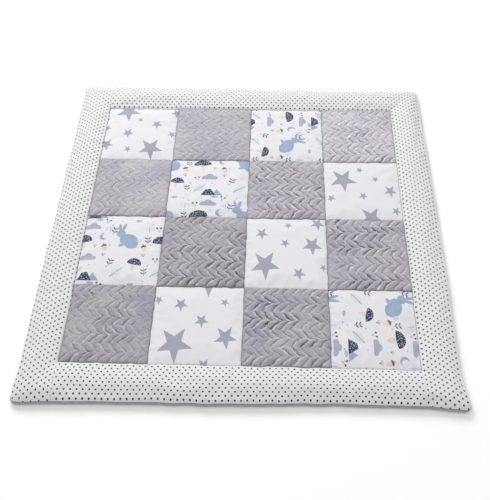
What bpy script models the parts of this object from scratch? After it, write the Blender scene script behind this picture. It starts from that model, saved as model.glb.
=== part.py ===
"""Padded patchwork play mat, about 1 m square, lying flat with its face up.

One filled body with a plush back carries sixteen patches in four rows of four and a
border of four strips. Metres, +Z up, floor at z = 0, origin under the mat's centre.

Places on the face are given in piecing coordinates (u, v). u runs left to right: -1 is
the left edge seam, 0 to 4 are the five seams between the columns, 5 is the right edge
seam. v runs front to back in the same way.
"""

import math

import bmesh
import bpy
from mathutils import Vector

MM = 0.001

# Seams of the patchwork, as they lie
COLUMN_SEAMS = (-0.402, -0.2055, 0.002, 0.1995, 0.394)
ROW_SEAMS = (-0.397, -0.196, 0.011, 0.204, 0.3985)
PATCHES = 4
EDGE = PATCHES + 1

# Corners of the edge seam, before they are rounded
FRONT_LEFT = (-0.4915, -0.4905)
FRONT_RIGHT = (0.4900, -0.4815)
BACK_LEFT = (-0.4860, 0.4905)
BACK_RIGHT = (0.4780, 0.4845)
CORNER_RADIUS = 14 * MM

# How many millimetres the sewing draws each side in from the straight line between its
# corners: at its first corner, at the five seams that end on it, and at its last corner
DRAWN_IN = {
    "left": (0.0, 5.0, 2.5, 2.5, 2.5, 2.0, 0.0),
    "right": (0.0, 10.0, 6.0, 4.0, 3.0, 3.5, 0.0),
    "front": (0.0, 4.0, 5.0, 5.0, 9.5, 7.5, 0.0),
    "back": (0.0, 0.0, 3.5, 4.0, 6.5, 5.0, 0.0),
}

# Heights of the filled body's upper face
EDGE_SEAM_Z = 12.5 * MM
BORDER_CROWN_Z = 29.0 * MM
PATCH_SEAM_Z = 17.2 * MM
PATCH_RISE = 6.0 * MM
CROSSING_DIP = 1.2 * MM
PUFF_REACH = 60 * MM
CORNER_CREASE = 3.0 * MM
CREASE_HALF_WIDTH = 12 * MM
CREASE_LENGTH = 60 * MM

# Cloths
CLOTH_GAP = 0.5 * MM
COTTON_THICKNESS = 1.2 * MM
PLUSH_THICKNESS = 1.1 * MM
LEAF_RISE = 2.4 * MM
LEAF_TIP_RISE = 1.2 * MM
SEAM_GAP = 0.4 * MM
SHOULDER = 14 * MM

# The herringbone has nine bands to a patch. A band is two steps deep, a leaf two wide.
LEAF_STEPS = 18
STEPS_PER_BAND = 2

# Lattice lines that the body and the cloths share. Lines closer than the tolerance, in
# piecing coordinates, are one line.
SAME_LINE = 1e-6
PATCH_STEPS = (0, 1, 4, 9, 14, 17, 18)
BORDER_STEPS = (0.0, 0.05, 0.165, 0.5, 0.79, 0.93, 1.0)

# Plush side of the body below the edge seam: (how far out, height), down to the floor
SIDE_PROFILE = (
    (2.2 * MM, 11.6 * MM),
    (3.2 * MM, 6.8 * MM),
    (1.8 * MM, 1.8 * MM),
    (-4.0 * MM, 0.0),
)

# Cloth of each patch. The first row is the back one, and each row runs left to right.
LAYOUT = (
    ("stars", "plush", "forest", "plush"),
    ("plush", "forest", "plush", "stars"),
    ("forest", "plush", "stars", "plush"),
    ("plush", "stars", "plush", "forest"),
)

# Colour and roughness of each cloth
CLOTH_FINISH = {
    "plush": ((0.39, 0.37, 0.42, 1.0), 0.95),
    "stars": ((0.80, 0.80, 0.84, 1.0), 0.85),
    "forest": ((0.76, 0.79, 0.83, 1.0), 0.85),
    "dots": ((0.74, 0.74, 0.75, 1.0), 0.85),
    "back": ((0.36, 0.35, 0.38, 1.0), 0.95),
}


def clear_scene():
    for obj in list(bpy.data.objects):
        bpy.data.objects.remove(obj, do_unlink=True)


def mix(a, b, part):
    return a + (b - a) * part


def puff(distance, reach):
    """Height, from 0 to 1, of filled cloth at this distance from a seam."""
    left = 1.0 - min(distance / reach, 1.0)
    return math.sqrt(max(0.0, 1.0 - left * left))


def through(values, at):
    """A smooth curve through values that stand one step apart."""
    cell = min(max(math.floor(at), 0), len(values) - 2)
    part = at - cell
    ends = (values[0], *values, values[-1])
    before, low, high, after = ends[cell:cell + 4]
    slope = (high - before) / 2
    last_slope = (after - low) / 2
    bend = 3 * (high - low) - 2 * slope - last_slope
    twist = 2 * (low - high) + slope + last_slope
    return low + part * (slope + part * (bend + part * twist))


def side(first, last, inward, name, along):
    """Place of a side of the mat between its corners."""
    share = (along + 1.0) / (PATCHES + 2)
    return mix(first, last, share) + inward * through(DRAWN_IN[name], along + 1.0) * MM


def spaced(at, low, seams, high):
    """Reads a piecing coordinate off the seams of one direction."""
    lines = (low, *seams, high)
    cell = min(max(int(math.floor(at + 1.0)), 0), len(lines) - 2)
    return mix(lines[cell], lines[cell + 1], at + 1.0 - cell)


def edges_of(u, v):
    """(left, right, front, back) of the mat, as seen from this place."""
    return (
        side(FRONT_LEFT[0], BACK_LEFT[0], 1.0, "left", v),
        side(FRONT_RIGHT[0], BACK_RIGHT[0], -1.0, "right", v),
        side(FRONT_LEFT[1], FRONT_RIGHT[1], 1.0, "front", u),
        side(BACK_LEFT[1], BACK_RIGHT[1], -1.0, "back", u),
    )


def rounded(x, y, left, right, front, back):
    """Turns the square rings round each corner into arcs."""
    in_x = min(x - left, right - x)
    in_y = min(y - front, back - y)
    if in_x >= CORNER_RADIUS or in_y >= CORNER_RADIUS:
        return x, y
    from_x, from_y = CORNER_RADIUS - in_x, CORNER_RADIUS - in_y
    shrink = max(from_x, from_y) / math.hypot(from_x, from_y)
    towards_x = 1.0 if x - left < right - x else -1.0
    towards_y = 1.0 if y - front < back - y else -1.0
    x += towards_x * from_x * (1.0 - shrink)
    y += towards_y * from_y * (1.0 - shrink)
    return x, y


def to_nearest(value, lines):
    return min(abs(value - line) for line in lines)


def patch_height(x, y):
    dx, dy = to_nearest(x, COLUMN_SEAMS), to_nearest(y, ROW_SEAMS)
    rise = PATCH_RISE * puff(dx, PUFF_REACH) * puff(dy, PUFF_REACH)
    dip = CROSSING_DIP if dx + dy < SEAM_GAP else 0.0
    return PATCH_SEAM_Z + rise - dip


def border_height(x, y, left, right, front, back):
    """A roll between the edge seam and the patchwork, with a soft crease at each corner."""
    in_x, in_y = min(x - left, right - x), min(y - front, back - y)
    reach_x = (COLUMN_SEAMS[0] - left) / 2 if x < 0 else (right - COLUMN_SEAMS[-1]) / 2
    reach_y = (ROW_SEAMS[0] - front) / 2 if y < 0 else (back - ROW_SEAMS[-1]) / 2
    outer = puff(max(in_x, 0.0), reach_x) * puff(max(in_y, 0.0), reach_y)
    past_x = max(COLUMN_SEAMS[0] - x, x - COLUMN_SEAMS[-1], 0.0)
    past_y = max(ROW_SEAMS[0] - y, y - ROW_SEAMS[-1], 0.0)
    inner = puff(math.hypot(past_x, past_y), min(reach_x, reach_y))
    height = BORDER_CROWN_Z
    height -= (BORDER_CROWN_Z - EDGE_SEAM_Z) * (1.0 - outer)
    height -= (BORDER_CROWN_Z - PATCH_SEAM_Z) * (1.0 - inner)
    if past_x > 0.0 and past_y > 0.0:
        off_diagonal = abs(past_x / reach_x - past_y / reach_y) * reach_x
        crease = max(0.0, 1.0 - off_diagonal / CREASE_HALF_WIDTH)
        crease *= max(0.0, 1.0 - math.hypot(past_x, past_y) / CREASE_LENGTH)
        height -= CORNER_CREASE * crease * outer * inner
    return height


def face_point(u, v, lift=0.0):
    """A point of the filled body's upper face, or of a cloth lifted off it.

    Near the edge seam the cloth rolls over the side, so there it is lifted outwards too.
    """
    left, right, front, back = edges_of(u, v)
    x = spaced(u, left, COLUMN_SEAMS, right)
    y = spaced(v, front, ROW_SEAMS, back)
    on_patches = 0.0 <= u <= PATCHES and 0.0 <= v <= PATCHES
    if on_patches:
        z = patch_height(x, y)
    else:
        z = border_height(x, y, left, right, front, back)
    out_x = max(0.0, 1.0 - min(x - left, right - x) / SHOULDER) * (-1.0 if x < 0 else 1.0)
    out_y = max(0.0, 1.0 - min(y - front, back - y) / SHOULDER) * (-1.0 if y < 0 else 1.0)
    longest = max(1.0, math.hypot(out_x, out_y))
    x, y = rounded(x, y, left, right, front, back)
    return Vector((x, y, z)) + Vector((out_x / longest, out_y / longest, 1.0)) * lift


def piecing_lines(first, last):
    """The shared lattice lines from one piecing coordinate to another."""
    lines = [-1.0 + step for step in BORDER_STEPS]
    for patch in range(PATCHES):
        lines += [patch + step / LEAF_STEPS for step in PATCH_STEPS[1:]]
    lines += [EDGE - step for step in reversed(BORDER_STEPS[:-1])]
    return [line for line in lines if first - SAME_LINE < line < last + SAME_LINE]


def add_grid(bm, u_lines, v_lines, place):
    """A grid with its points at place(u, v). Returns {(column, row): vertex}."""
    made = bmesh.ops.create_grid(
        bm, x_segments=len(u_lines) - 1, y_segments=len(v_lines) - 1, size=1.0
    )
    verts = {}
    for vert in made["verts"]:
        column = round((vert.co.x + 1.0) / 2.0 * (len(u_lines) - 1))
        row = round((vert.co.y + 1.0) / 2.0 * (len(v_lines) - 1))
        verts[column, row] = vert
        vert.co = place(u_lines[column], v_lines[row])
    return verts


def split_quad(bm, face, pair):
    corners = list(face.verts)
    bmesh.utils.face_split(face, corners[pair], corners[pair + 2])


def split_along_crowns(bm, faces):
    """Splits each quad along its higher diagonal, so that filled cloth stays convex."""
    for face in faces:
        heights = [vert.co.z for vert in face.verts]
        split_quad(bm, face, 0 if heights[0] + heights[2] > heights[1] + heights[3] else 1)


def cell_of(face, verts_at):
    """(column, row) of the grid cell that this face fills."""
    places = [verts_at[vert] for vert in face.verts]
    return min(place[0] for place in places), min(place[1] for place in places)


def finish(bm, name, cloth, collection):
    bmesh.ops.recalc_face_normals(bm, faces=bm.faces)
    mesh = bpy.data.meshes.new(name)
    bm.to_mesh(mesh)
    bm.free()
    mesh.shade_smooth()
    obj = bpy.data.objects.new(name, mesh)
    collection.objects.link(obj)
    mesh.materials.append(cloth_material(cloth))
    return obj


def cloth_material(cloth):
    name = f"{cloth} cloth"
    material = bpy.data.materials.get(name)
    if material is None:
        colour, roughness = CLOTH_FINISH[cloth]
        material = bpy.data.materials.new(name)
        material.use_nodes = True
        shader = material.node_tree.nodes["Principled BSDF"]
        shader.inputs["Base Color"].default_value = colour
        shader.inputs["Roughness"].default_value = roughness
        shader.inputs["Metallic"].default_value = 0.0
        material.diffuse_color = colour
    return material


def make_filled_body(collection):
    """The plush back with its filling: crowned face, bulging side and flat underside."""
    bm = bmesh.new()
    lines = piecing_lines(-1.0, EDGE)
    add_grid(bm, lines, lines, face_point)
    bmesh.ops.recalc_face_normals(bm, faces=bm.faces)
    bm.normal_update()
    rim = [edge for edge in bm.edges if edge.is_boundary]
    seam = {}
    for vert in {vert for edge in rim for vert in edge.verts}:
        outwards = Vector((vert.normal.x, vert.normal.y, 0.0)).normalized()
        seam[vert] = (vert.co.copy(), outwards)
    split_along_crowns(bm, list(bm.faces))
    for out, height in SIDE_PROFILE:
        above = seam
        made = bmesh.ops.extrude_edge_only(bm, edges=rim)["geom"]
        rim = [edge for edge in made if isinstance(edge, bmesh.types.BMEdge) and edge.is_boundary]
        seam = {}
        for vert in {vert for edge in rim for vert in edge.verts}:
            upper = next(e.other_vert(vert) for e in vert.link_edges if e.other_vert(vert) in above)
            base, outwards = above[upper]
            seam[vert] = (base, outwards)
            vert.co = base + outwards * out
            vert.co.z = height
    bmesh.ops.edgeloop_fill(bm, edges=rim)
    return finish(bm, "filled_back", "back", collection)


def inset_lines(first, last, at_edge):
    """Shared lines, and where the cloth's own edges lie, half a seam gap inside."""
    lines = piecing_lines(first, last)
    pitch = COLUMN_SEAMS[1] - COLUMN_SEAMS[0]
    inset = SEAM_GAP / 2 / pitch
    shifted = list(lines)
    if not at_edge[0]:
        shifted[0] += inset
    if not at_edge[1]:
        shifted[-1] -= inset
    return lines, shifted


def cloth_place(lines, shifted, lift):
    """place(u, v) for a cloth: its height on the shared line, its edge moved inside."""
    u_shift = dict(zip(lines[0], shifted[0]))
    v_shift = dict(zip(lines[1], shifted[1]))

    def place(u, v):
        height = face_point(u, v, lift).z
        point = face_point(u_shift[u], v_shift[v], lift)
        return Vector((point.x, point.y, height))

    return place


def make_sheet(name, cloth, u_range, v_range, thickness, collection):
    """A smooth cloth on the body's face: its underside, extruded up by its thickness."""
    u_lines, u_shifted = inset_lines(*u_range, [at in (-1, EDGE) for at in u_range])
    v_lines, v_shifted = inset_lines(*v_range, [at in (-1, EDGE) for at in v_range])
    lines, shifted = (u_lines, v_lines), (u_shifted, v_shifted)
    bm = bmesh.new()
    verts = add_grid(bm, u_lines, v_lines, cloth_place(lines, shifted, CLOTH_GAP))
    split_along_crowns(bm, list(bm.faces))
    upper = cloth_place(lines, shifted, CLOTH_GAP + thickness)
    places = {vert.co.copy().freeze(): place for place, vert in verts.items()}
    made = bmesh.ops.extrude_face_region(bm, geom=list(bm.faces))["geom"]
    for vert in [item for item in made if isinstance(item, bmesh.types.BMVert)]:
        column, row = places[vert.co.copy().freeze()]
        vert.co = upper(u_lines[column], v_lines[row])
    return finish(bm, name, cloth, collection)


def leaf_height(column, row):
    """Rise of the herringbone at a step: nothing along the grooves, most mid-leaf."""
    at_edge = column in (0, LEAF_STEPS) or row in (0, LEAF_STEPS)
    if at_edge or (column + row) % 2 == 0:
        return 0.0
    return LEAF_RISE if row % STEPS_PER_BAND else LEAF_TIP_RISE


def split_along_leaves(bm, faces, step_of):
    """Splits each quad along its leaf. The bands lean right and left by turns."""
    for face in faces:
        column, row = cell_of(face, step_of)
        if column in (0, LEAF_STEPS - 1) or row in (0, LEAF_STEPS - 1):
            split_along_crowns(bm, [face])
            continue
        leans_right = (row // STEPS_PER_BAND) % 2 == 0
        first = step_of[face.verts[0]]
        on_rising = (first[0] - column) == (first[1] - row)
        split_quad(bm, face, 0 if on_rising == leans_right else 1)


def make_plush_patch(name, column, row, collection):
    """Embossed plush: a smooth underside, and a raised herringbone of leaves on top."""
    u_lines, u_shifted = inset_lines(column, column + 1, (False, False))
    v_lines, v_shifted = inset_lines(row, row + 1, (False, False))
    bm = bmesh.new()
    lines, shifted = (u_lines, v_lines), (u_shifted, v_shifted)
    under = add_grid(bm, u_lines, v_lines, cloth_place(lines, shifted, CLOTH_GAP))
    split_along_crowns(bm, list(bm.faces))
    lower_faces = set(bm.faces)

    steps = range(LEAF_STEPS + 1)
    u_fine = [column + step / LEAF_STEPS for step in steps]
    v_fine = [row + step / LEAF_STEPS for step in steps]
    u_moved = [u_shifted[0], *u_fine[1:-1], u_shifted[-1]]
    v_moved = [v_shifted[0], *v_fine[1:-1], v_shifted[-1]]
    lift = CLOTH_GAP + PLUSH_THICKNESS
    place = cloth_place((u_fine, v_fine), (u_moved, v_moved), lift)
    top = add_grid(bm, u_fine, v_fine, place)
    step_of = {vert: step for step, vert in top.items()}
    for vert, step in step_of.items():
        vert.co.z += leaf_height(*step)
    split_along_leaves(bm, [face for face in bm.faces if face not in lower_faces], step_of)

    last = len(PATCH_STEPS) - 1
    for fixed, low, high in ((0, 0, 0), (0, last, LEAF_STEPS), (1, 0, 0), (1, last, LEAF_STEPS)):
        for index in range(last):
            fine = range(PATCH_STEPS[index], PATCH_STEPS[index + 1] + 1)
            if fixed == 0:
                below = [under[low, index + 1], under[low, index]]
                above = [top[high, step] for step in fine]
            else:
                below = [under[index + 1, low], under[index, low]]
                above = [top[step, high] for step in fine]
            bm.faces.new(below + above)
    walls = [face for face in bm.faces if len(face.verts) > 3]
    bmesh.ops.triangulate(bm, faces=walls)
    return finish(bm, name, "plush", collection)


def main():
    clear_scene()
    collection = bpy.data.collections.new("play_mat")
    bpy.context.scene.collection.children.link(collection)
    make_filled_body(collection)
    for row_from_back, cloths in enumerate(LAYOUT):
        row = PATCHES - 1 - row_from_back
        for column, cloth in enumerate(cloths):
            name = f"{cloth}_r{row_from_back + 1}c{column + 1}"
            if cloth == "plush":
                make_plush_patch(name, column, row, collection)
            else:
                u_range, v_range = (column, column + 1), (row, row + 1)
                make_sheet(name, cloth, u_range, v_range, COTTON_THICKNESS, collection)
    whole, inside = (-1, EDGE), (0, PATCHES)
    make_sheet("border_left", "dots", (-1, 0), whole, COTTON_THICKNESS, collection)
    make_sheet("border_right", "dots", (PATCHES, EDGE), whole, COTTON_THICKNESS, collection)
    make_sheet("border_front", "dots", inside, (-1, 0), COTTON_THICKNESS, collection)
    make_sheet("border_back", "dots", inside, (PATCHES, EDGE), COTTON_THICKNESS, collection)


main()
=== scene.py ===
import math
from functools import lru_cache

import bmesh
import bpy
import numpy as np
from mathutils import Matrix, Vector


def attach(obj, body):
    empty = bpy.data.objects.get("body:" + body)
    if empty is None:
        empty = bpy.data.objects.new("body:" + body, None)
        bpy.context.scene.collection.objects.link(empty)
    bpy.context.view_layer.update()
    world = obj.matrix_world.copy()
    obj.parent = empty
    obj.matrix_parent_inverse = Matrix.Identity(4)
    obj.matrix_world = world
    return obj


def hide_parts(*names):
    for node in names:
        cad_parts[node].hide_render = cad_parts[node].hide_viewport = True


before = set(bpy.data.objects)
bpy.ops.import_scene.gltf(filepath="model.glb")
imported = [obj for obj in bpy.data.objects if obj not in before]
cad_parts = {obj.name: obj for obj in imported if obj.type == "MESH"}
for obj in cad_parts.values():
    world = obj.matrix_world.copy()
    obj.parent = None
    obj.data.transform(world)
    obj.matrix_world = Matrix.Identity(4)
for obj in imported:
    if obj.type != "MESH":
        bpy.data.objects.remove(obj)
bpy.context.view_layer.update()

bl_info = {
    "name": "Padded Patchwork Play Mat",
    "version": (1, 0, 0),
    "blender": (4, 5, 0),
    "location": "3D View > Sidebar > Play Mat",
    "description": "Dresses the play mat: puffed cotton and embossed plush on a filled plush back",
    "category": "Object",
}

MM = 0.001
BODY = "root"

# Places on the mat's face are piecing coordinates (u, v). u runs left to right: -1 is the
# left edge seam, 0 to 4 are the seams between the columns, 5 is the right edge seam. v runs
# front to back in the same way. Lengths are in metres, and the floor is at z = 0.
COLUMN_SEAMS = (-0.402, -0.2055, 0.002, 0.1995, 0.394)
ROW_SEAMS = (-0.397, -0.196, 0.011, 0.204, 0.3985)
PATCHES = 4
EDGE = PATCHES + 1
FRONT_LEFT = (-0.4915, -0.4905)
FRONT_RIGHT = (0.4900, -0.4815)
BACK_LEFT = (-0.4860, 0.4905)
BACK_RIGHT = (0.4780, 0.4845)
CORNER_RADIUS = 14 * MM
SCALLOP_REACH = 14 * MM

# How many millimetres the sewing draws each side in from the straight line between its
# corners: at its first corner, at the five seams that end on it, and at its last corner
DRAWN_IN = {
    "left": (0.0, 5.0, 2.5, 2.5, 2.5, 2.0, 0.0),
    "right": (0.0, 10.0, 6.0, 4.0, 3.0, 3.5, 0.0),
    "front": (0.0, 4.0, 5.0, 5.0, 9.5, 7.5, 0.0),
    "back": (0.0, 0.0, 3.5, 4.0, 6.5, 5.0, 0.0),
}

# Heights of the filled body's face, and how far in from a seam each one is reached
EDGE_SEAM_Z = 12.5 * MM
BORDER_CROWN_Z = 29.0 * MM
PATCH_SEAM_Z = 17.2 * MM
PATCH_RISE = 6.0 * MM
CROSSING_DIP = 1.2 * MM
CROSSING_REACH = 7 * MM
PUFF_REACH = 60 * MM
CORNER_CREASE = 3.0 * MM
CREASE_HALF_WIDTH = 12 * MM
CREASE_LENGTH = 60 * MM
SHOULDER = 14 * MM

# The seam between two border strips hardly puckers, because both are cut from one cloth
BUTT_SEAM = 0.15
BUTT_EASE = 12 * MM

# Plush side below the edge seam: (how far out, height), from the seam down to the floor
SIDE_PROFILE = (
    (0.0, 12.5 * MM),
    (2.2 * MM, 11.6 * MM),
    (3.2 * MM, 6.8 * MM),
    (1.8 * MM, 1.8 * MM),
    (-4.0 * MM, 0.0),
)

# Folds that run into a seam: (spacing, length, share of their depth, reach from the seam)
SEAM_FOLDS = ((8 * MM, 50 * MM, 1.0, 9 * MM), (21 * MM, 70 * MM, 0.9, 26 * MM))
EDGE_FOLDS = (14 * MM, 60 * MM, 1.5, 16 * MM)
EDGE_START = 3 * MM
EDGE_SEED = 71

# The thread's own draw, in the same order but for the length, and how even it is
THREAD_DRAW = (13 * MM, 0.5, 3 * MM)
THREAD_EVEN = 0.55

# How far a seam's sway goes along it and away from it, and the sizes of the outline's
# waves between the stitches
SWAY_SPACING = 15 * MM
SWAY_REACH = 12 * MM
BROAD_WAVE = 34 * MM
SMALL_WAVE = 13 * MM

# Sizes of the places where a hand has brushed the pile flat, across and along
BRUSHED_BROAD = (75 * MM, 60 * MM)
BRUSHED_SMALL = (24 * MM, 20 * MM)

# The lip of thick pile over a seam: how ragged it is along it, and how far in it goes
LIP_RAGGED = 3.5 * MM
LIP_REACH = 1.6 * MM
LIP_START = 0.5 * MM

# A first unevenness, for the simulation to start from
FIRST_PUCKER = 0.25 * MM

# The cloths lie this far above the body's face, and this far apart at a seam
CLOTH_GAP = 0.5 * MM
SEAM_GAP = 0.4 * MM

# A cloth's rim: how high it stands, how far its even lines keep from its close ones, and
# how far in from it the cloth reaches its full thickness
RIM_WALL = 0.15 * MM
RIM_CLEAR = 1.4
COTTON_ROUNDING = 1.4 * MM
PLUSH_ROUNDING = 2.0 * MM

# Nine bands of nine leaves to a plush patch: how far a leaf bends, how wide its rounded
# side is for a leaf of 1, and how far its rows wander
LEAVES = 9
LEAF_BEND = 0.32
LEAF_BEND_POWER = 3.5
LEAF_PAD = 0.36
LEAF_WARP = 0.11

# Leaves are flatter beside the side seams of their patch, down to this share
LEAF_FADE = 0.45
LEAF_FADE_REACH = 22 * MM

# Height of loose tufts, and how far from a seam the pile is matted and its colour painted in shade
TUFT_RISE = 0.3 * MM
SEAM_FLATTENED_AND_SHADED = 2 * MM

# The cloth simulation of the whole top: fabric that is a little longer than its seams. Of its
# movement, what is narrower than a crown is kept.
SETTLE_PITCH = 6 * MM
SETTLE_FRAMES = 12
SETTLE_QUALITY = 4
SETTLE_MASS = 0.1
SETTLE_AIR = 2.0
SETTLE_STIFFNESS = 6.0
SETTLE_SLACK = 0.014
SETTLE_UNEVEN = 0.7
SETTLE_BLOTCH = 45 * MM
SETTLE_REACH = 20 * MM
SETTLE_HOLD = 0.02
SETTLE_PRESSURE = 0.3
SETTLE_CROWN = 40 * MM
SETTLE_KEPT = 1.1
SETTLE_MOST = 3.0 * MM

# A patch and a border strip as they were cut
PATCH_CUT = 0.2
STRIP_CUT = 0.1
STRIP_LENGTH = 1.0

# How far a print is pulled out of line on its cloth, and over what distance
PRINT_PULL = 1.3 * MM
PRINT_PULL_REACH = 55 * MM

# Steps of each mesh
PLUSH_PITCH = 1.35 * MM
COTTON_PITCH = 2 * MM
STRIP_PITCH = 2.4 * MM
UNDER_PITCH = 4 * MM
BACK_PITCH = 5 * MM
SIDE_STEPS = 3

# Close lines inside the rim of a cloth, by their distance from it
COTTON_RIMS = (0.25 * MM, 0.8 * MM, 1.6 * MM)
PLUSH_RIMS = (0.25 * MM, 0.6 * MM, 1.1 * MM, 1.9 * MM, 3.0 * MM)

# Cloth of each patch. The first row is the back one, and each row runs left to right.
LAYOUT = (
    ("stars", "plush", "forest", "plush"),
    ("plush", "forest", "plush", "stars"),
    ("forest", "plush", "stars", "plush"),
    ("plush", "stars", "plush", "forest"),
)

# Share of the bake layout that a cloth's upper side takes. Its underside has a corner.
UPPER_SHARE = 0.9
UNDER_CENTRE = 0.955
UNDER_HALF = 0.03
WALL_HALF = 0.04


# Numbers and noise

def mix(a, b, part):
    """The value that lies this part of the way from a to b."""
    return a + (b - a) * part


def puff(distance, reach):
    """Height, from 0 to 1, of filled cloth at this distance from a seam."""
    left = 1.0 - np.clip(distance / reach, 0.0, 1.0)
    return np.sqrt(1.0 - left * left)


def ease(value):
    """A smooth step from 0 to 1."""
    value = np.clip(value, 0.0, 1.0)
    return value * value * (3.0 - 2.0 * value)


def noise(x, y, seed):
    """Smooth noise from -1 to 1 that swings once or so to a unit, the same for each seed."""
    table = np.random.default_rng(seed).uniform(-1.0, 1.0, (64, 64))
    column, row = np.floor(x), np.floor(y)
    part_x, part_y = ease(x - column), ease(y - row)
    left, front = column.astype(int) % 64, row.astype(int) % 64
    right, back = (left + 1) % 64, (front + 1) % 64
    near = mix(table[left, front], table[right, front], part_x)
    far = mix(table[left, back], table[right, back], part_x)
    return mix(near, far, part_y)


def blotches(x, y, size, seed):
    """Noise that swings once or so to this size."""
    return noise(x / size, y / size, seed)


# The filled face

def through(values, at):
    """A smooth curve through values that stand one step apart."""
    ends = np.array([values[0], *values, values[-1]])
    cell = np.clip(np.floor(at).astype(int), 0, len(values) - 2)
    part = at - cell
    before, low, high, after = (ends[cell + step] for step in range(4))
    slope, last_slope = (high - before) / 2.0, (after - low) / 2.0
    bend = 3.0 * (high - low) - 2.0 * slope - last_slope
    twist = 2.0 * (low - high) + slope + last_slope
    return low + part * (slope + part * (bend + part * twist))


def side(first, last, inward, name, along):
    """Place of a side of the mat between its corners."""
    share = (along + 1.0) / (PATCHES + 2)
    return mix(first, last, share) + inward * through(DRAWN_IN[name], along + 1.0) * MM


def edges_of(u, v):
    """(left, right, front, back) of the mat, as seen from this place."""
    return (
        side(FRONT_LEFT[0], BACK_LEFT[0], 1.0, "left", v),
        side(FRONT_RIGHT[0], BACK_RIGHT[0], -1.0, "right", v),
        side(FRONT_LEFT[1], FRONT_RIGHT[1], 1.0, "front", u),
        side(BACK_LEFT[1], BACK_RIGHT[1], -1.0, "back", u),
    )


def spaced(at, low, seams, high):
    """Reads a piecing coordinate off the seams of one direction."""
    lines = np.stack([low, *(np.full_like(at, seam) for seam in seams), high])
    cell = np.clip(np.floor(at + 1.0).astype(int), 0, len(seams))
    lower = np.take_along_axis(lines, cell[None], 0)[0]
    upper = np.take_along_axis(lines, cell[None] + 1, 0)[0]
    return mix(lower, upper, at + 1.0 - cell)


def to_nearest(value, seams):
    """Distance to the nearest of these seams."""
    return np.min([np.abs(value - seam) for seam in seams], axis=0)


def past(value, seams):
    """How far this place lies outside the outermost seams."""
    return np.maximum(np.maximum(seams[0] - value, value - seams[-1]), 0.0)


def inside_edges(x, y, edges):
    """(distance from the nearer side edge, distance from the nearer front or back edge)."""
    left, right, front, back = edges
    return np.minimum(x - left, right - x), np.minimum(y - front, back - y)


def patch_height(x, y):
    """A patch's low crown, with a dip where four patches meet."""
    dx, dy = to_nearest(x, COLUMN_SEAMS), to_nearest(y, ROW_SEAMS)
    rise = PATCH_RISE * puff(dx, PUFF_REACH) * puff(dy, PUFF_REACH)
    return PATCH_SEAM_Z + rise - CROSSING_DIP * np.exp(-(dx + dy) / CROSSING_REACH)


def border_height(x, y, edges):
    """A roll between the edge seam and the patchwork, with a soft crease at each corner."""
    left, right, front, back = edges
    in_x, in_y = inside_edges(x, y, edges)
    reach_x = np.where(x < 0, COLUMN_SEAMS[0] - left, right - COLUMN_SEAMS[-1]) / 2
    reach_y = np.where(y < 0, ROW_SEAMS[0] - front, back - ROW_SEAMS[-1]) / 2
    outer = puff(in_x, reach_x) * puff(in_y, reach_y)
    past_x, past_y = past(x, COLUMN_SEAMS), past(y, ROW_SEAMS)
    inner = puff(np.hypot(past_x, past_y), np.minimum(reach_x, reach_y))
    height = BORDER_CROWN_Z - (BORDER_CROWN_Z - EDGE_SEAM_Z) * (1.0 - outer)
    height = height - (BORDER_CROWN_Z - PATCH_SEAM_Z) * (1.0 - inner)
    off_diagonal = np.abs(past_x / reach_x - past_y / reach_y) * reach_x
    crease = ease(1.0 - off_diagonal / CREASE_HALF_WIDTH)
    crease = crease * ease(1.0 - np.hypot(past_x, past_y) / CREASE_LENGTH)
    in_corner = (past_x > 0.0) & (past_y > 0.0)
    return height - CORNER_CREASE * crease * outer * inner * in_corner


def rounded(x, y, edges):
    """Turns the square rings round each corner into arcs."""
    left, right, front, back = edges
    from_x, from_y = (np.maximum(CORNER_RADIUS - near, 0.0) for near in inside_edges(x, y, edges))
    in_corner = (from_x > 0.0) & (from_y > 0.0)
    reach = np.where(in_corner, np.hypot(from_x, from_y), 1.0)
    shrink = np.where(in_corner, np.maximum(from_x, from_y) / reach, 1.0)
    towards_x = np.where(x - left < right - x, 1.0, -1.0)
    towards_y = np.where(y - front < back - y, 1.0, -1.0)
    return x + towards_x * from_x * (1.0 - shrink), y + towards_y * from_y * (1.0 - shrink)


def seam_lines(x, y):
    """For each seam: (distance to it, place along it, how firmly it is sewn here, its seed)."""
    across_face = (y > ROW_SEAMS[0]) & (y < ROW_SEAMS[-1])
    along_face = (x > COLUMN_SEAMS[0]) & (x < COLUMN_SEAMS[-1])
    families = []
    for number, seam in enumerate(COLUMN_SEAMS):
        butt = BUTT_SEAM if number in (0, PATCHES) else 0.0
        families.append((np.abs(x - seam), y, np.where(across_face, 1.0, butt), number))
    for number, seam in enumerate(ROW_SEAMS):
        families.append((np.abs(y - seam), x, np.where(along_face, 1.0, 0.0), number + EDGE))
    return families


def puckers(x, y, edges, depth):
    """Small folds that run into each seam, and the uneven draw of its thread."""
    height = np.zeros_like(x)
    for distance, along, sewn, seed in seam_lines(x, y):
        for layer, (spacing, length, share, reach) in enumerate(SEAM_FOLDS):
            fold = noise(along / spacing, distance / length, seed + 20 * layer)
            height += sewn * depth * share * fold * np.exp(-distance / reach)
        spacing, share, reach = THREAD_DRAW
        drawn = mix(noise(along / spacing, along * 0.0, seed + 40), 1.0, THREAD_EVEN)
        height -= sewn * depth * share * drawn * np.exp(-distance / reach)
    spacing, length, share, reach = EDGE_FOLDS
    left, right, front, back = edges
    sides = ((x - left, y), (right - x, y), (y - front, x), (back - y, x))
    for seed, (distance, along) in enumerate(sides, EDGE_SEED):
        fold = noise(along / spacing, distance / length, seed)
        near = np.exp(-np.maximum(distance, 0.0) / reach) * ease(distance / EDGE_START)
        height += depth * share * fold * near
    return height


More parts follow.
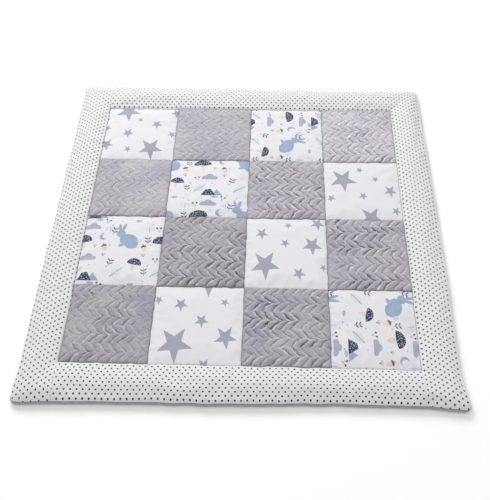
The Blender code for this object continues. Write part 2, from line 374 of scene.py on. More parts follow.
def lift_direction(x, y, edges):
    """Up, and outwards too where the cloth rolls over the side."""
    out_x, out_y = (np.clip(1.0 - near / SHOULDER, 0.0, 1.0) for near in inside_edges(x, y, edges))
    longest = np.maximum(1.0, np.hypot(out_x, out_y))
    out_x, out_y = out_x * np.sign(x) / longest, out_y * np.sign(y) / longest
    return np.stack([out_x, out_y, np.ones_like(x)], axis=-1)


class Face:
    """The filled body's face on a lattice of piecing coordinates."""

    def __init__(self, u_lines, v_lines, settled=True):
        u_lines, v_lines = np.asarray(u_lines), np.asarray(v_lines)
        self.u, self.v = np.meshgrid(u_lines, v_lines)
        self.edges = edges_of(self.u, self.v)
        left, right, front, back = self.edges
        x = spaced(self.u, left, COLUMN_SEAMS, right)
        y = spaced(self.v, front, ROW_SEAMS, back)
        on_patches = (self.u >= 0) & (self.u <= PATCHES) & (self.v >= 0) & (self.v <= PATCHES)
        z = np.where(on_patches, patch_height(x, y), border_height(x, y, self.edges))
        z = z + puckers(x, y, self.edges, sizes().pucker if settled else FIRST_PUCKER)
        self.up = lift_direction(x, y, self.edges)
        self.flat = (x, y)
        x, y = rounded(x, y, self.edges)
        self.points = np.stack([x, y, z], axis=-1)
        if settled:
            self.points += self.scallop(x, y) + self.wander() + settling(u_lines, v_lines)

    def wander(self):
        """Puckered cloth pulls each seam a little from side to side."""
        x, y = self.flat
        shift = [np.zeros_like(x), np.zeros_like(x)]
        for number, (distance, along, sewn, seed) in enumerate(seam_lines(x, y)):
            sway = noise(along / SWAY_SPACING, along * 0.0, 900 + seed)
            shift[number // EDGE] += sewn * sizes().sway * sway * np.exp(-distance / SWAY_REACH)
        return np.stack([*shift, np.zeros_like(x)], axis=-1)

    def scallop(self, x, y):
        """The outline wanders in and out between the stitches of its edge seam."""
        small = 0.5 * blotches(x, y, SMALL_WAVE, 91)
        reach = (blotches(x, y, BROAD_WAVE, 90) + small) * sizes().scallop
        near_x, near_y = (np.exp(-near / SCALLOP_REACH) for near in inside_edges(x, y, self.edges))
        out_x, out_y = near_x * np.sign(x), near_y * np.sign(y)
        return np.stack([reach * out_x, reach * out_y, np.zeros_like(x)], axis=-1)

    def lifted(self, height):
        """The face's points raised by one height, or by one for each point."""
        return self.points + self.up * np.asarray(height)[..., None]


# The simulated top

def spline_weights(at, knots):
    """How much each knot counts at each place, as a smooth cubic spline."""
    index = np.interp(at, knots, np.arange(len(knots)))
    away = np.abs(index[:, None] - np.arange(len(knots)))
    near = (4.0 - 6.0 * away ** 2 + 3.0 * away ** 3) / 6.0
    far = np.clip(2.0 - away, 0.0, None) ** 3 / 6.0
    weights = np.where(away < 1.0, near, far)
    return weights / weights.sum(axis=1, keepdims=True)


def settling(u_lines, v_lines):
    """How far the simulated top moved at each crossing of these lines."""
    moved = settled_top()
    if moved is None:
        return 0.0
    knots = lattice(-1, EDGE, SETTLE_PITCH)
    across = spline_weights(u_lines, knots)
    up = spline_weights(v_lines, knots)
    return np.einsum("ij,jkc,lk->ilc", up, moved, across, optimize=True)


@lru_cache(maxsize=1)
def settled_top():
    """Lets the whole top settle as a cloth with some air under it: its movement on the lattice.

    The cloth is pinned along every seam, and near the seams it is a little too long, as it is
    once the thread has drawn the seams in.
    """
    lines = lattice(-1, EDGE, SETTLE_PITCH)
    middles = (lines[1:] + lines[:-1]) / 2.0
    corners, centres = Face(lines, lines, settled=False), Face(middles, middles, settled=False)
    cells = len(lines) - 1
    bm = bmesh.new()
    bmesh.ops.create_grid(bm, x_segments=cells, y_segments=cells, size=1.0)
    bmesh.ops.poke(bm, faces=bm.faces)
    obj = to_object(bm, "settling")
    flat = flat_places(obj.data)
    column, row = grid_index(flat[:, 0], 2 * cells), grid_index(flat[:, 1], 2 * cells)
    is_corner = column % 2 == 0

    def gathered(of_corners, of_centres):
        values = np.zeros((len(flat), *of_corners.shape[2:]))
        values[is_corner] = of_corners[row[is_corner] // 2, column[is_corner] // 2]
        values[~is_corner] = of_centres[row[~is_corner] // 2, column[~is_corner] // 2]
        return values

    before = gathered(corners.points, centres.points)
    set_places(obj.data, before)
    x, y = (gathered(a, b) for a, b in zip(corners.flat, centres.flat))
    edges = [gathered(a, b) for a, b in zip(corners.edges, centres.edges)]
    from_seam = distance_to_seams(x, y, edges)
    sewn = from_seam < SETTLE_PITCH / 10
    uneven = 1.0 + SETTLE_UNEVEN * blotches(x, y, SETTLE_BLOTCH, 500)
    slack = np.exp(-from_seam / SETTLE_REACH) * uneven
    add_weights(obj, "sewn", np.where(sewn, 1.0, SETTLE_HOLD))
    add_weights(obj, "taut", np.clip(1.0 - np.where(sewn, 0.0, slack), 0.0, 1.0))
    run_cloth(obj)

    mesh = obj.evaluated_get(bpy.context.evaluated_depsgraph_get()).to_mesh()
    moved = np.zeros((cells + 1, cells + 1, 3))
    moved[row[is_corner] // 2, column[is_corner] // 2] = (flat_places(mesh) - before)[is_corner]
    bpy.data.objects.remove(obj)

    # Only the folds are kept: the crowns have their height already
    apart = np.subtract.outer(np.arange(cells + 1), np.arange(cells + 1)) * SETTLE_PITCH
    blur = np.exp(-(apart / SETTLE_CROWN) ** 2)
    blur /= blur.sum(axis=1, keepdims=True)
    moved -= np.einsum("ij,jkc,lk->ilc", blur, moved, blur, optimize=True)
    return SETTLE_MOST * np.tanh(moved * SETTLE_KEPT / SETTLE_MOST)


def distance_to_seams(x, y, edges):
    """Distance to the nearest seam that is sewn, or edge."""
    nearest = np.minimum(*inside_edges(x, y, edges))
    for distance, _, sewn, _ in seam_lines(x, y):
        nearest = np.where(sewn == 1.0, np.minimum(nearest, distance), nearest)
    return nearest


def add_weights(obj, name, weights):
    group = obj.vertex_groups.new(name=name)
    for index, weight in enumerate(weights):
        group.add([index], float(weight), "REPLACE")


def run_cloth(obj):
    """Simulates the object as cloth, up to the last frame."""
    cloth = obj.modifiers.new("Cloth", "CLOTH")
    settings = cloth.settings
    settings.quality = SETTLE_QUALITY
    settings.mass = SETTLE_MASS
    settings.air_damping = SETTLE_AIR
    settings.bending_stiffness = SETTLE_STIFFNESS
    settings.use_pressure = True
    settings.uniform_pressure_force = SETTLE_PRESSURE
    settings.vertex_group_mass = "sewn"
    settings.vertex_group_shrink = "taut"
    settings.shrink_min = -SETTLE_SLACK
    settings.shrink_max = 0.0
    settings.effector_weights.gravity = 0.0
    cloth.point_cache.frame_end = SETTLE_FRAMES
    for number in range(1, SETTLE_FRAMES + 1):
        bpy.context.scene.frame_set(number)


# Meshes

def sizes():
    return bpy.context.scene.mat_sizes


def colours():
    return bpy.context.scene.mat_colours


def lattice(first, last, pitch):
    """Lines of equal spacing in each cell from one piecing coordinate to another."""
    lines = [float(first)]
    for cell in range(first, last):
        on_border = cell in (-1, PATCHES)
        steps = round((STRIP_CUT if on_border else PATCH_CUT) / pitch)
        lines += [cell + step / steps for step in range(1, steps + 1)]
    return np.array(lines)


def with_rims(lines, rims, cell_width):
    """Adds close lines inside both ends, at these distances from them."""
    close = np.array(rims) / cell_width
    clear = close[-1] * RIM_CLEAR
    kept = lines[(lines > lines[0] + clear) & (lines < lines[-1] - clear)]
    return np.concatenate([lines[:1], lines[0] + close, kept, lines[-1] - close[::-1], lines[-1:]])


def grid_index(values, count):
    """The line that each value is on, of an even grid."""
    return np.rint((values + 1.0) / 2.0 * count).astype(int)


def read_grid(values, flat):
    """Reads rows of columns of values at the places of an even grid from -1 to 1."""
    rows, columns = values.shape[:2]
    return values[grid_index(flat[:, 1], rows - 1), grid_index(flat[:, 0], columns - 1)]


def closed_sheet(columns, rows, under_columns, under_rows):
    """A flat closed sheet: a fine upper grid at z = 1 and a coarser underside at z = 0."""
    bm = bmesh.new()
    above = Matrix.Translation((0.0, 0.0, 1.0))
    bmesh.ops.create_grid(bm, x_segments=columns, y_segments=rows, size=1.0, matrix=above)
    upper = set(bm.faces)
    bmesh.ops.create_grid(bm, x_segments=under_columns, y_segments=under_rows, size=1.0)
    bmesh.ops.reverse_faces(bm, faces=[face for face in bm.faces if face not in upper])
    bmesh.ops.bridge_loops(bm, edges=[edge for edge in bm.edges if edge.is_boundary])
    bmesh.ops.recalc_face_normals(bm, faces=bm.faces)
    return bm


def to_object(bm, name):
    mesh = bpy.data.meshes.new(name)
    bm.to_mesh(mesh)
    bm.free()
    obj = bpy.data.objects.new(name, mesh)
    bpy.context.scene.collection.objects.link(obj)
    return obj


def flat_places(mesh):
    """Where each vertex is."""
    places = np.zeros(len(mesh.vertices) * 3, np.float32)
    mesh.vertices.foreach_get("co", places)
    return places.reshape(-1, 3).astype(float)


def read_all(items, key):
    values = np.zeros(len(items), np.int32)
    items.foreach_get(key, values)
    return values


def set_places(mesh, places):
    """Moves every vertex to its place."""
    mesh.vertices.foreach_set("co", places.astype(np.float32).ravel())
    mesh.update()


def lay_out(mesh, flat, cut_size, cut_from, cut_turn):
    """The bake layout, and the place on the uncut cloth of every corner, in metres."""
    corners = read_all(mesh.loops, "vertex_index")
    starts, counts = (read_all(mesh.polygons, key) for key in ("loop_start", "loop_total"))
    level = flat[corners, 2]
    lowest = np.repeat(np.minimum.reduceat(level, starts), counts)
    spot = flat[corners, :2]
    upper = (spot + 1.0) / 2.0 * UPPER_SHARE
    half = np.where(level > 0.5, WALL_HALF, UNDER_HALF)[:, None]
    under = UNDER_CENTRE + spot * half
    layout = np.where((lowest > 0.5)[:, None], upper, under)
    bake = mesh.uv_layers.new(name="OFBake")
    bake.data.foreach_set("uv", layout.astype(np.float32).ravel())

    turn = math.radians(cut_turn)
    place = (spot + 1.0) / 2.0 * np.array(cut_size)
    turned = np.stack([
        place[:, 0] * math.cos(turn) - place[:, 1] * math.sin(turn),
        place[:, 0] * math.sin(turn) + place[:, 1] * math.cos(turn),
    ], axis=1) + np.array(cut_from)
    pulled = np.stack([
        blotches(*turned.T, PRINT_PULL_REACH, seed) for seed in (801, 802)
    ], axis=1) * PRINT_PULL
    cut = mesh.uv_layers.new(name="Cut")
    cut.data.foreach_set("uv", (turned + pulled).astype(np.float32).ravel())


def make_cloth(name, u_lines, v_lines, thickness, material, cut, relief=None):
    """A closed sheet that follows the filled face, rounded down into the seams around it."""
    under_u, under_v = under_lines(u_lines), under_lines(v_lines)
    counts = [len(lines) - 1 for lines in (u_lines, v_lines, under_u, under_v)]
    obj = to_object(closed_sheet(*counts), name)
    flat = flat_places(obj.data)
    is_upper = flat[:, 2] > 0.5

    top, under = Face(u_lines, v_lines), Face(under_u, under_v)
    rims = rim_distances(top)
    to_rim = np.min(rims, axis=0)
    rounding = COTTON_ROUNDING if relief is None else PLUSH_ROUNDING
    height = CLOTH_GAP + RIM_WALL + (thickness - RIM_WALL) * puff(to_rim, rounding)
    layers = {}
    if relief is not None:
        rise, layers = relief(top, to_rim)
        height = height + rise
    upper_points = top.lifted(height)
    if relief is not None:
        upper_points = add_lip(upper_points, top, rims)

    places = np.zeros_like(flat)
    places[is_upper] = read_grid(upper_points, flat[is_upper])
    places[~is_upper] = read_grid(under.lifted(CLOTH_GAP), flat[~is_upper])
    for layer_name, values in layers.items():
        stored = np.ones(len(flat), np.float32)
        stored[is_upper] = read_grid(values, flat[is_upper])
        layer = obj.data.attributes.new(layer_name, "FLOAT", "POINT")
        layer.data.foreach_set("value", stored)

    # The grids are even, and the lines are not, so the layout takes the lines' own spacing
    for axis, lines, coarser in ((0, u_lines, under_u), (1, v_lines, under_v)):
        share, under_share = line_shares(lines, axis), line_shares(coarser, axis)
        fine = grid_index(flat[:, axis], len(share) - 1)
        coarse = grid_index(flat[:, axis], len(under_share) - 1)
        flat[:, axis] = np.where(is_upper, share[fine], under_share[coarse])
    lay_out(obj.data, flat, *cut)
    set_places(obj.data, places)
    obj.data.shade_smooth()
    obj.data.materials.append(material)
    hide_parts(name_of_node(name))
    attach(obj, BODY)


def under_lines(lines):
    """Coarser lines with the same ends."""
    under = lattice(round(lines[0]), round(lines[-1]), UNDER_PITCH)
    under[0], under[-1] = lines[0], lines[-1]
    return under


def rim_distances(top):
    """Distance to the cloth's left, right, front and back rim. Butt seams count as far off."""
    x, y = top.flat
    rims = [np.abs(x - x[:, :1]), np.abs(x - x[:, -1:]), np.abs(y - y[:1]), np.abs(y - y[-1:])]
    past_face = past(y, ROW_SEAMS)
    for rim, end in ((0, x[:, :1]), (1, x[:, -1:])):
        butts = to_nearest(end, (COLUMN_SEAMS[0], COLUMN_SEAMS[-1])) < MM
        rims[rim] = rims[rim] + BUTT_EASE * butts * ease(past_face / BUTT_EASE)
    return rims


def line_shares(lines, axis):
    """Where each line falls from -1 to 1 of the cloth's length."""
    seams = (COLUMN_SEAMS, ROW_SEAMS)[axis]
    low = (FRONT_LEFT[0] + BACK_LEFT[0], FRONT_LEFT[1] + FRONT_RIGHT[1])[axis] / 2.0
    high = (FRONT_RIGHT[0] + BACK_RIGHT[0], BACK_LEFT[1] + BACK_RIGHT[1])[axis] / 2.0
    at = spaced(np.asarray(lines), np.full(len(lines), low), seams, np.full(len(lines), high))
    return (at - at[0]) / (at[-1] - at[0]) * 2.0 - 1.0


def name_of_node(name):
    return name.removeprefix("cloth_")


def add_lip(points, top, rims):
    """Thick pile bulges a little over the seam, unevenly."""
    x, y = top.flat
    lip = sizes().lip
    outwards = ((rims[0], (-1, 0)), (rims[1], (1, 0)), (rims[2], (0, -1)), (rims[3], (0, 1)))
    for distance, (out_x, out_y) in outwards:
        ragged = 0.6 + 0.4 * blotches(x, y, LIP_RAGGED, 33)
        push = lip * ragged * np.exp(-distance / LIP_REACH) * ease(distance / LIP_START)
        points[..., 0] += push * out_x
        points[..., 1] += push * out_y
    return points


# The embossed herringbone

# Each plush patch by (column, row from the front): how light its colour is made, lighter towards the
# back as painted light and sheen and partly by the way that its pile leans, and how strongly its
# leaves show
PATCH_LIGHT_AND_LEAVES = {
    (0, 0): (0.98, 0.85), (2, 0): (1.03, 1.30), (1, 1): (1.00, 1.15), (3, 1): (1.10, 1.35),
    (0, 2): (1.20, 0.42), (2, 2): (1.18, 0.95), (1, 3): (1.22, 0.36), (3, 3): (1.41, 0.95),
}


def leaf_relief(column, row):
    """Makes the function that gives a plush patch its leaves: (rise, layers to store)."""
    def relief(top, to_rim):
        x, y = top.flat
        seed = column * 7 + row
        # tone is how light the patch is painted: lighter towards the back as painted light and sheen
        tone, strength = PATCH_LIGHT_AND_LEAVES[column, row]
        u = (top.u - column) * LEAVES + LEAF_WARP * blotches(x, y, 26 * MM, 600 + seed)
        v = (top.v - row) * LEAVES + LEAF_WARP * blotches(x, y, 31 * MM, 700 + seed)
        u = u + LEAF_WARP * blotches(x, y, 10 * MM, 800 + seed)
        band = np.floor(v)
        along = np.where(band % 2 == 0, v - band, 1.0 + band - v)
        slid = u - curl(along)
        leaf = np.floor(slid)
        across = slid - leaf
        rubbed = rub(x, y, seed)
        own = noise(leaf * 7.3, band * 5.1, 400 + seed)
        from_groove = np.minimum(across, 1.0 - across) / LEAF_PAD
        pad = 0.5 * puff(from_groove, 1.0) + 0.5 * ease(from_groove)
        ends = 0.6 + 0.4 * puff(np.minimum(along, 1.0 - along), 0.3)
        kept = 0.7 + 0.45 * blotches(x, y, 17 * MM, 850 + seed)
        side_seam = np.minimum(np.abs(x - x[:, :1]), np.abs(x - x[:, -1:]))
        fade = mix(LEAF_FADE, 1.0, ease(side_seam / LEAF_FADE_REACH))
        stands = strength * (1.0 - 0.7 * rubbed) * kept * fade
        rise = sizes().leaf_rise * pad * ends * (0.3 + 0.7 * stands) * (1.0 + 0.3 * own)
        tuft = blotches(x, y, 3.1 * MM, 51) * TUFT_RISE
        # Painted shade beside each seam, uneven along it; the stored layer also carries the patch's
        # painted lightness
        seam_shade = 0.75 + 0.25 * blotches(x, y, 5 * MM, 52)
        patch_light_and_seam_shade = tone * (1.0 - 0.5 * seam_shade * np.exp(-to_rim / SEAM_FLATTENED_AND_SHADED))
        layers = {"leaf_u": u, "leaf_v": v, "rubbed": rubbed, "stands": stands, "patch_light_and_seam_shade": patch_light_and_seam_shade}
        return (rise + tuft) * ease(to_rim / SEAM_FLATTENED_AND_SHADED), layers
    return relief


def curl(along):
    """A leaf's sides bend towards the tip of its chevron."""
    return (1.0 - LEAF_BEND) * along + LEAF_BEND * along ** LEAF_BEND_POWER


def rub(x, y, seed):
    """0 where the pile stands, 1 where a hand has brushed it flat."""
    broad, small = (
        noise(x / across, y / along, first_seed + seed)
        for (across, along), first_seed in ((BRUSHED_BROAD, 200), (BRUSHED_SMALL, 300))
    )
    return ease(0.35 + 0.75 * broad + 0.35 * small)


# Finishes

class Wire:
    """An output socket. Arithmetic on wires and numbers adds Math nodes."""

    def __init__(self, finish, socket):
        self.finish = finish
        self.socket = socket

    def __add__(self, other):
        return self.finish.maths("ADD", self, other)

    __radd__ = __add__

    def __sub__(self, other):
        return self.finish.maths("SUBTRACT", self, other)

    def __mul__(self, other):
        return self.finish.maths("MULTIPLY", self, other)

    __rmul__ = __mul__

    def __truediv__(self, other):
        return self.finish.maths("DIVIDE", self, other)

    def __mod__(self, other):
        return self.finish.maths("FLOORED_MODULO", self, other)

    def __pow__(self, other):
        return self.finish.maths("POWER", self, other)

    def __abs__(self):
        return self.finish.maths("ABSOLUTE", self)


class Finish:
    """A material in the making. node() adds any node, and paint() ends it."""

    def __init__(self, name):
        self.material = bpy.data.materials.new(name)
        self.material.use_nodes = True
        self.tree = self.material.node_tree
        self.tree.nodes.clear()

    def node(self, kind, settings=None, inputs=None, output=0):
        """Adds a node: its settings, then the values or wires of its inputs."""
        made = self.tree.nodes.new("ShaderNode" + kind)
        for key, value in (settings or {}).items():
            setattr(made, key, value)
        pairs = inputs.items() if isinstance(inputs, dict) else enumerate(inputs or ())
        for key, value in pairs:
            if isinstance(value, Wire):
                self.tree.links.new(value.socket, made.inputs[key])
            elif value is not None:
                made.inputs[key].default_value = value
        return Wire(self, made.outputs[output]) if made.outputs else None

    def where(self):
        """Places on the object itself."""
        return self.node("TexCoord", None, None, output=3)

    def maths(self, operation, *values, clamp=False):
        return self.node("Math", {"operation": operation, "use_clamp": clamp}, values)

    def ramp(self, value, slope, start):
        """The value on a straight ramp, kept from 0 to 1."""
        return self.maths("MULTIPLY_ADD", value, slope, start, clamp=True)

    def highest(self, values):
        found, *others = values
        for value in others:
            found = self.maths("MAXIMUM", found, value)
        return found

    def blend(self, part, first, second):
        """Mixes two colours."""
        return self.node(
            "Mix", {"data_type": "RGBA"},
            {"Factor": part, 6: opaque(first), 7: opaque(second)}, output=2,
        )

    def shade(self, colour, value):
        """Multiplies a colour by a number."""
        plain = colour if isinstance(colour, Wire) else tuple(colour)[:3]
        return self.node("VectorMath", {"operation": "SCALE"}, {0: plain, "Scale": value})

    def noise(self, where, scale, detail=2.0, roughness=0.5):
        inputs = {"Vector": where, "Scale": scale, "Detail": detail, "Roughness": roughness}
        return self.node("TexNoise", {"noise_dimensions": "3D"}, inputs)

    def uneven(self, where, scale, detail=2.0, roughness=0.5):
        """Noise about zero."""
        return self.noise(where, scale, detail, roughness) - 0.5

    def place(self, where, at, turn, size):
        """Coordinates about a point, turned and in units of the motif's size."""
        return self.node("Mapping", {"vector_type": "TEXTURE"}, {
            "Vector": where, "Location": (*at, 0.0),
            "Rotation": (0.0, 0.0, math.radians(turn)), "Scale": (*size, 1.0),
        })

    def parts_of(self, where):
        """x and y of a vector."""
        return tuple(
            self.node("VectorMath", {"operation": "DOT_PRODUCT"}, [where, axis], output=1)
            for axis in ((1.0, 0.0, 0.0), (0.0, 1.0, 0.0))
        )

    def length(self, where):
        return self.node("VectorMath", {"operation": "LENGTH"}, [where], output=1)

    def inside(self, distance, softness):
        """1 where the distance is below zero, 0 where it is above, soft between them."""
        return self.ramp(distance, -1.0 / softness, 0.5)

    def paint(self, colour, roughness, height=None, depth=MM, strength=1.0, sheen=0.0,
              sheen_tint=(1.0, 1.0, 1.0)):
        """Joins the colour and the relief to a shader and returns the material."""
        inputs = {"Base Color": colour, "Roughness": roughness}
        if height is not None:
            inputs["Normal"] = self.node(
                "Bump", None, {"Strength": strength, "Distance": depth, "Height": height}
            )
        inputs["Sheen Weight"] = sheen
        inputs["Sheen Roughness"] = 0.5
        inputs["Sheen Tint"] = opaque(sheen_tint)
        inputs["Specular IOR Level"] = 0.25
        shader = self.node("BsdfPrincipled", None, inputs)
        self.node("OutputMaterial", None, {"Surface": shader})
        return self.material


def opaque(colour):
    if isinstance(colour, Wire) or len(colour) == 4:
        return colour
    return (*colour, 1.0)


def screen(red, green, blue):
    """A colour read off a screen, from 0 to 255, as linear light."""
    def linear(value):
        value /= 255.0
        return value / 12.92 if value <= 0.04045 else ((value + 0.055) / 1.055) ** 2.4
    return (linear(red), linear(green), linear(blue))


def weave_height(finish, cut, yarn):
    """Over and under of a plain weave, from 0 to 1."""
    along, across = finish.parts_of(cut)
    warp = finish.maths("SINE", along * (math.pi / yarn))
    weft = finish.maths("SINE", across * (math.pi / yarn))
    return warp * weft * 0.5 + 0.5


def cotton(name, print_on):
    """White woven cotton. print_on(finish, cut) returns the printed colour."""
    finish = Finish(name)
    cut = finish.node("UVMap", {"uv_map": "Cut"})
    colour = print_on(finish, cut)
    slub = finish.noise(cut, 1400.0)
    crumple = finish.noise(finish.where(), 60.0, 3.0, 0.55)
    colour = finish.shade(colour, 0.955 + slub * 0.07)
    height = weave_height(finish, cut, sizes().yarn) * 0.35 + crumple * 2.2 + slub * 0.3
    return finish.paint(colour, 0.82, height, depth=0.4 * MM, strength=0.7, sheen=0.12)


# Inner radius of a star for an outer one of 1, and how much longer one of its arms is drawn.
# Its outline is soft over so many millimetres, and its ink is lighter here and there.
STAR_INNER = 0.4
STAR_STRETCH = 1.12
STAR_SOFTNESS = 0.6
STAR_FADE = 1.12


def star(finish, cut, x, y, radius, turn):
    """A five-pointed star with one arm, a little longer, towards the viewer."""
    size = (radius * STAR_STRETCH * MM, radius * MM)
    scaled = finish.place(cut, (x * MM, y * MM), turn - 90.0, size)
    along, across = finish.parts_of(scaled)
    angle = finish.maths("ARCTAN2", across, along)
    arm = math.pi / 5
    folded = finish.maths("PINGPONG", angle, arm)
    side_turn = math.atan2(1.0 - STAR_INNER * math.cos(arm), STAR_INNER * math.sin(arm))
    reach = finish.maths("COSINE", folded - side_turn) * finish.length(scaled)
    return finish.inside(reach - math.cos(side_turn), STAR_SOFTNESS / radius)


def star_cotton(name, stars):
    """White cotton with grey stars at a patch's own places."""
    def print_stars(finish, cut):
        shape = finish.highest(star(finish, cut, *entry) for entry in stars)
        faded = tuple(channel * STAR_FADE for channel in colours().star)
        ink = finish.blend(finish.noise(cut, 160.0, 3.0), colours().star, faded)
        return finish.blend(shape, colours().cotton, ink)
    return cotton(name, print_stars)


# The forest print's outlines, in millimetres: how ragged and how soft they are
PRINT_RAGGED = 1.4
PRINT_SOFTNESS = 0.9


class Print:
    """Motifs, in millimetres, that repeat over a cloth. Each shape is added to an ink.

    Cycles has room for about 80 shapes in one material.
    """

    def __init__(self, finish, cut, repeat):
        self.finish = finish
        self.repeat = repeat
        self.cloth = finish.shade(cut, 1.0 / MM)
        self.inks = {}

    def draw(self, motif, x, y, turn, size, times):
        """Draws a motif, so many times along and across each repeat of the cloth."""
        self.pen = (x, y, turn, size)
        self.half = tuple(length / count / 2.0 for length, count in zip(self.repeat, times))
        motif(self)

    def about(self, at, half_size, turn=0.0):
        """Coordinates about one shape of the motif, in units of its half size."""
        x, y, motif_turn, size = self.pen
        cos, sin = math.cos(math.radians(motif_turn)), math.sin(math.radians(motif_turn))
        centre = (x + size * (at[0] * cos - at[1] * sin), y + size * (at[0] * sin + at[1] * cos))
        highest = (centre[0] + self.half[0], centre[1] + self.half[1], 1.0)
        lowest = (centre[0] - self.half[0], centre[1] - self.half[1], -1.0)
        wrapped = self.finish.node(
            "VectorMath", {"operation": "WRAP"}, [self.cloth, highest, lowest]
        )
        scale = (size * half_size[0], size * half_size[1])
        return self.finish.place(wrapped, centre, motif_turn + turn, scale)

    def millimetres(self, distance, half_size):
        return distance * (min(half_size) * self.pen[3])

    def oval(self, at, half_size, turn=0.0):
        """Distance outside an oval, and below zero inside it."""
        reach = self.finish.length(self.about(at, half_size, turn))
        return self.millimetres(reach - 1.0, half_size)

    def bar(self, at, half_size, turn=0.0):
        x, y = self.finish.parts_of(self.about(at, (1.0, 1.0), turn))
        return self.both(abs(x) - half_size[0], abs(y) - half_size[1]) * self.pen[3]

    def hill(self, at, half_width, height):
        """A triangle with a level base."""
        x, y = self.finish.parts_of(self.about(at, (half_width, height)))
        return self.millimetres(self.both(abs(x) + y - 1.0, y * -1.0), (half_width, height))

    def both(self, first, second):
        return self.finish.highest((first, second))

    def either(self, *shapes):
        joined = shapes[0]
        for shape in shapes[1:]:
            joined = self.finish.maths("MINIMUM", joined, shape)
        return joined

    def add(self, ink, *shapes):
        kept = [self.inks[ink]] if ink in self.inks else []
        self.inks[ink] = self.either(*kept, *shapes)

    def painted(self, ground):
        """The ground with every ink on it, each a little uneven like a watercolour."""
        finish = self.finish
        wash = finish.noise(self.cloth, 0.05, 3.0, 0.6)
        grain = finish.noise(self.cloth, 0.6)
        edge = finish.uneven(self.cloth, 0.35) * PRINT_RAGGED
        colour = ground
        for ink, shape in self.inks.items():
            washed = finish.shade(getattr(colours(), ink), 0.72 + wash * 0.42 + grain * 0.16)
            colour = finish.blend(finish.inside(shape + edge, PRINT_SOFTNESS), colour, washed)
        return colour


def pebble(cloth):
    cloth.add("print_sand", cloth.oval((0.0, 0.0), (9.0, 6.5)), cloth.oval((6.0, -3.0), (6.5, 4.5)))


def bush(cloth):
    leaves = cloth.oval((0.0, 0.0), (11.0, 13.0))
    cloth.add("print_pale", cloth.both(leaves, cloth.bar((0.0, 8.0), (14.0, 8.0))))
    cloth.add("print_lilac", cloth.bar((0.0, 2.0), (0.6, 7.0)))


def rabbit(cloth):
    cloth.add(
        "print_blue",
        cloth.oval((-8.0, 19.0), (2.4, 8.0), -14.0), cloth.oval((-14.0, 18.5), (2.3, 7.6), 12.0),
        cloth.oval((2.0, -3.0), (14.0, 10.5), -12.0), cloth.oval((8.0, -7.0), (9.0, 9.0)),
        cloth.oval((-11.0, 8.0), (7.0, 6.0)), cloth.oval((-8.0, -11.0), (5.0, 2.6), 20.0),
        cloth.oval((7.0, -14.0), (8.0, 2.8)),
    )
    cloth.add("print_aqua", cloth.oval((18.5, -3.0), (3.6, 3.6)))


def toadstool(cloth):
    cloth.add("print_beige", cloth.oval((0.0, -7.0), (4.2, 9.0)))
    cap = cloth.both(cloth.oval((0.0, 0.0), (16.0, 14.0)), cloth.oval((0.0, 22.0), (40.0, 23.5)))
    cloth.add("print_navy", cap)


def cloud(cloth):
    puffs = cloth.either(
        cloth.oval((-9.0, 1.0), (7.5, 6.5)), cloth.oval((1.0, 4.0), (9.0, 8.5)),
        cloth.oval((11.0, 0.5), (7.0, 5.8)),
    )
    cloth.add("print_lilac", cloth.both(puffs, cloth.bar((0.0, 6.0), (30.0, 9.5))))


def hills(cloth):
    cloth.add("print_blue", cloth.hill((10.0, -10.0), 12.0, 17.0))
    tall = cloth.hill((-7.0, -10.0), 15.0, 26.0)
    cloth.add("print_navy", tall)
    cloth.add("print_white", cloth.both(tall, cloth.bar((-7.0, 17.0), (20.0, 10.0), 8.0)))


def striped_leaf(cloth):
    blade = cloth.both(cloth.oval((0.0, -9.0), (20.0, 17.0)), cloth.oval((0.0, 9.0), (20.0, 17.0)))
    x, _ = cloth.finish.parts_of(cloth.about((0.0, 0.0), (1.0, 1.0)))
    stripes = abs(cloth.finish.maths("PINGPONG", x, 2.4) - 1.2) - 0.75
    cloth.add("print_aqua", cloth.both(blade, stripes))
    cloth.add("print_brown", cloth.bar((0.0, 0.0), (18.0, 0.5)))


def moon(cloth):
    shade = cloth.oval((4.5, 2.0), (8.0, 8.0)) * -1.0
    cloth.add("print_blue", cloth.both(cloth.oval((0.0, 0.0), (9.5, 9.5)), shade))


def acorn(cloth):
    cloth.add("print_beige", cloth.oval((0.0, -2.0), (5.6, 8.0)))
    cup = cloth.both(cloth.oval((0.0, 2.5), (7.0, 5.2)), cloth.bar((0.0, 7.0), (9.0, 4.4)))
    cloth.add("print_brown", cup, cloth.bar((0.0, 9.0), (0.8, 2.5)))


def sprig(cloth):
    cloth.add("print_navy", cloth.bar((0.0, -1.0), (0.4, 10.0)))
    for height in (-3.5, 4.0):
        for side_way in (-1.0, 1.0):
            cloth.add("print_navy", cloth.oval((3.8 * side_way, height), (3.8, 1.3), 38.0 * side_way))


def berries(cloth):
    for side_way in (-1.0, 1.0):
        cloth.add("print_brown", cloth.bar((2.2 * side_way, 0.0), (0.4, 6.0), -24.0 * side_way))
        cloth.add("print_navy", cloth.oval((4.6 * side_way, 5.2), (2.3, 2.0)))


def little_cross(cloth):
    cloth.add("print_lilac", cloth.bar((0.0, 0.0), (3.2, 0.8)), cloth.bar((0.0, 0.0), (0.8, 3.2)))


def dashes(cloth):
    x, _ = cloth.finish.parts_of(cloth.about((0.0, 0.0), (1.0, 1.0)))
    strokes = abs(cloth.finish.maths("PINGPONG", x, 2.2) - 1.1) - 0.5
    cloth.add("print_navy", cloth.both(strokes, cloth.oval((0.0, 0.0), (8.0, 3.6))))


def tuft(cloth):
    cloth.add("print_brown", cloth.bar((0.0, 1.5), (0.5, 5.0)))
    for side_way in (-1.0, 1.0):
        cloth.add("print_brown", cloth.bar((2.6 * side_way, 0.8), (0.5, 4.4), -32.0 * side_way))


def dot(cloth):
    cloth.add("print_blue", cloth.oval((0.0, 0.0), (1.5, 1.5)))


